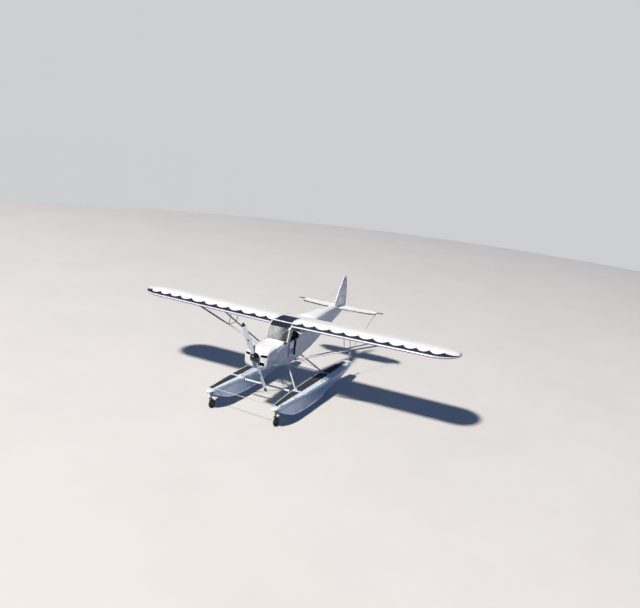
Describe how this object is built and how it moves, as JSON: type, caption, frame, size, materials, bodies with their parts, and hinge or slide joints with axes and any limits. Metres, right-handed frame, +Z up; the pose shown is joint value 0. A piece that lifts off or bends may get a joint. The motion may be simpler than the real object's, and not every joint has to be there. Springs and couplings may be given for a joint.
{
  "type": "floatplane",
  "caption": "High-wing light aircraft on amphibious floats, with strut-braced wings, a tandem cabin, an open side door and hinged control surfaces.",
  "frame": {"origin": "on the ground plane under the middle of the bounding box, with the wheels' lowest points at Z = 0", "axes": "+Z up, +X towards the aircraft's left wing tip, -Y along the fuselage towards the propeller"},
  "size_m": [10.738, 7.3197, 3.206],
  "materials": {
    "white_fabric": "white doped fabric",
    "white_paint": "gloss white paint",
    "hull_skin": "painted sheet aluminium",
    "strut_paint": "light grey paint",
    "dark_plastic": "matt dark plastic",
    "clear_pane": "clear polycarbonate",
    "cast_metal": "cast",
    "dark_gloss": "gloss charcoal",
    "blade_paint": "satin silver-white",
    "tyre_rubber": "black",
    "seat_cloth": "woven",
    "seat_tube": "dark grey paint",
    "bumper_rubber": "pale moulded rubber"
  },
  "bodies": {
    "airframe": {"wing_left": "white_fabric", "wing_right": "white_fabric", "stabilizer_left": "white_fabric", "stabilizer_right": "white_fabric", "rear_fuselage": "white_fabric", "fin": "white_fabric", "cabin_side_left": "white_paint", "cabin_side_right": "white_paint", "cabin_side_rear_left": "white_paint", "cabin_side_rear_right": "white_paint", "cabin_floor": "white_paint", "roof": "white_paint", "nose_deck": "white_paint", "cowling": "white_paint", "quarter_pane_left": "clear_pane", "quarter_pane_right": "clear_pane", "skylight": "clear_pane", "windshield": "clear_pane", "firewall": "cast_metal", "engine_block": "cast_metal", "instrument_panel": "dark_plastic", "lift_struts_left": "strut_paint", "lift_struts_right": "strut_paint", "float_struts_left": "strut_paint", "float_struts_right": "strut_paint", "spreader_front": "strut_paint", "spreader_rear": "strut_paint", "main_fork_left": "strut_paint", "main_fork_right": "strut_paint", "float_left": "hull_skin", "float_right": "hull_skin", "bow_bumper_left": "bumper_rubber", "bow_bumper_right": "bumper_rubber", "seat_cushion_front": "seat_cloth", "seat_cushion_rear": "seat_cloth", "seat_frame_front": "seat_tube", "seat_frame_rear": "seat_tube"},
    "propeller_unit": {"propeller": "blade_paint", "spinner": "dark_gloss"},
    "elevators": {"elevator_left": "white_fabric", "elevator_right": "white_fabric"},
    "rudder_surface": {"rudder": "white_fabric"},
    "door_left_upper": {"door_left_upper_frame": "white_paint", "door_left_upper_pane": "clear_pane"},
    "door_left_lower_leaf": {"door_left_lower": "white_paint"},
    "door_right_upper": {"door_right_upper_frame": "white_paint", "door_right_upper_pane": "clear_pane"},
    "door_right_lower_leaf": {"door_right_lower": "white_paint"},
    "flap_surface_left": {"flap_left": "white_fabric"},
    "aileron_surface_left": {"aileron_left": "white_fabric"},
    "main_wheel_unit_left": {"main_wheel_left": "tyre_rubber"},
    "nose_gear_left": {"nose_fork_left": "dark_gloss"},
    "nose_wheel_unit_left": {"nose_wheel_left": "tyre_rubber"},
    "water_rudder_unit_left": {"water_rudder_left": "hull_skin"},
    "flap_surface_right": {"flap_right": "white_fabric"},
    "aileron_surface_right": {"aileron_right": "white_fabric"},
    "main_wheel_unit_right": {"main_wheel_right": "tyre_rubber"},
    "nose_gear_right": {"nose_fork_right": "dark_gloss"},
    "nose_wheel_unit_right": {"nose_wheel_right": "tyre_rubber"},
    "water_rudder_unit_right": {"water_rudder_right": "hull_skin"}
  },
  "joints": [
    {"name": "propeller_spin", "type": "hinge", "parent": "airframe", "child": "propeller_unit", "pos_m": [0, -2.9888, 1.672], "axis": [0, 1, 0], "continuous": true},
    {"name": "flap_left_drop", "type": "hinge", "parent": "airframe", "child": "flap_surface_left", "pos_m": [1.53, -0.3118, 2.3555], "axis": [0.9999, 0, 0.0122], "range_deg": [-50, 0]},
    {"name": "aileron_left_tilt", "type": "hinge", "parent": "airframe", "child": "aileron_surface_left", "pos_m": [3.75, -0.3118, 2.3826], "axis": [0.9999, 0, 0.0122], "range_deg": [-18, 18]},
    {"name": "flap_right_drop", "type": "hinge", "parent": "airframe", "child": "flap_surface_right", "pos_m": [-1.53, -0.3118, 2.3555], "axis": [0.9999, 0, -0.0122], "range_deg": [-50, 0]},
    {"name": "aileron_right_tilt", "type": "hinge", "parent": "airframe", "child": "aileron_surface_right", "pos_m": [-3.75, -0.3118, 2.3826], "axis": [0.9999, 0, -0.0122], "range_deg": [-18, 18]},
    {"name": "elevator_tilt", "type": "hinge", "parent": "airframe", "child": "elevators", "pos_m": [0, 3.2862, 2.085], "axis": [1, 0, 0], "range_deg": [0, 40]},
    {"name": "rudder_turn", "type": "hinge", "parent": "airframe", "child": "rudder_surface", "pos_m": [0, 3.3342, 2.4], "axis": [0, 0, 1], "range_deg": [-25, 25]},
    {"name": "water_rudder_left_turn", "type": "hinge", "parent": "airframe", "child": "water_rudder_unit_left", "pos_m": [1.06, 1.8202, 0.65], "axis": [0, 0, 1], "range_deg": [-25, 25]},
    {"name": "main_wheel_left_roll", "type": "hinge", "parent": "airframe", "child": "main_wheel_unit_left", "pos_m": [1.06, -0.4138, 0.18], "axis": [1, 0, 0], "continuous": true},
    {"name": "nose_gear_left_caster", "type": "hinge", "parent": "airframe", "child": "nose_gear_left", "pos_m": [1.06, -3.4338, 0.36], "axis": [0, 0, 1], "range_deg": [-45, 45]},
    {"name": "nose_wheel_left_roll", "type": "hinge", "parent": "nose_gear_left", "child": "nose_wheel_unit_left", "pos_m": [1.06, -3.3838, 0.125], "axis": [1, 0, 0], "continuous": true},
    {"name": "water_rudder_right_turn", "type": "hinge", "parent": "airframe", "child": "water_rudder_unit_right", "pos_m": [-1.06, 1.8202, 0.65], "axis": [0, 0, 1], "range_deg": [-25, 25]},
    {"name": "main_wheel_right_roll", "type": "hinge", "parent": "airframe", "child": "main_wheel_unit_right", "pos_m": [-1.06, -0.4138, 0.18], "axis": [1, 0, 0], "continuous": true},
    {"name": "nose_gear_right_caster", "type": "hinge", "parent": "airframe", "child": "nose_gear_right", "pos_m": [-1.06, -3.4338, 0.36], "axis": [0, 0, 1], "range_deg": [-45, 45]},
    {"name": "nose_wheel_right_roll", "type": "hinge", "parent": "nose_gear_right", "child": "nose_wheel_unit_right", "pos_m": [-1.06, -3.3838, 0.125], "axis": [1, 0, 0], "continuous": true},
    {"name": "door_left_upper_lift", "type": "hinge", "parent": "airframe", "child": "door_left_upper", "pos_m": [0.367, -1.2038, 2.232], "axis": [0, 1, 0], "range_deg": [0, 88]},
    {"name": "door_left_lower_fold", "type": "hinge", "parent": "airframe", "child": "door_left_lower_leaf", "pos_m": [0.367, -1.2808, 1.62], "axis": [0, 0, 1], "range_deg": [0, 178]},
    {"name": "door_right_upper_lift", "type": "hinge", "parent": "airframe", "child": "door_right_upper", "pos_m": [-0.367, -1.1338, 2.232], "axis": [0, 1, 0], "range_deg": [0, 88]},
    {"name": "door_right_lower_drop", "type": "hinge", "parent": "airframe", "child": "door_right_lower_leaf", "pos_m": [-0.367, -1.1338, 1.361], "axis": [0, -1, 0], "range_deg": [0, 75]}
  ],
  "couplings": [
    {"joint": "flap_right_drop", "follows": "flap_left_drop", "ratio": 1},
    {"joint": "aileron_right_tilt", "follows": "aileron_left_tilt", "ratio": -1},
    {"joint": "water_rudder_left_turn", "follows": "rudder_turn", "ratio": 1},
    {"joint": "water_rudder_right_turn", "follows": "rudder_turn", "ratio": 1}
  ]
}
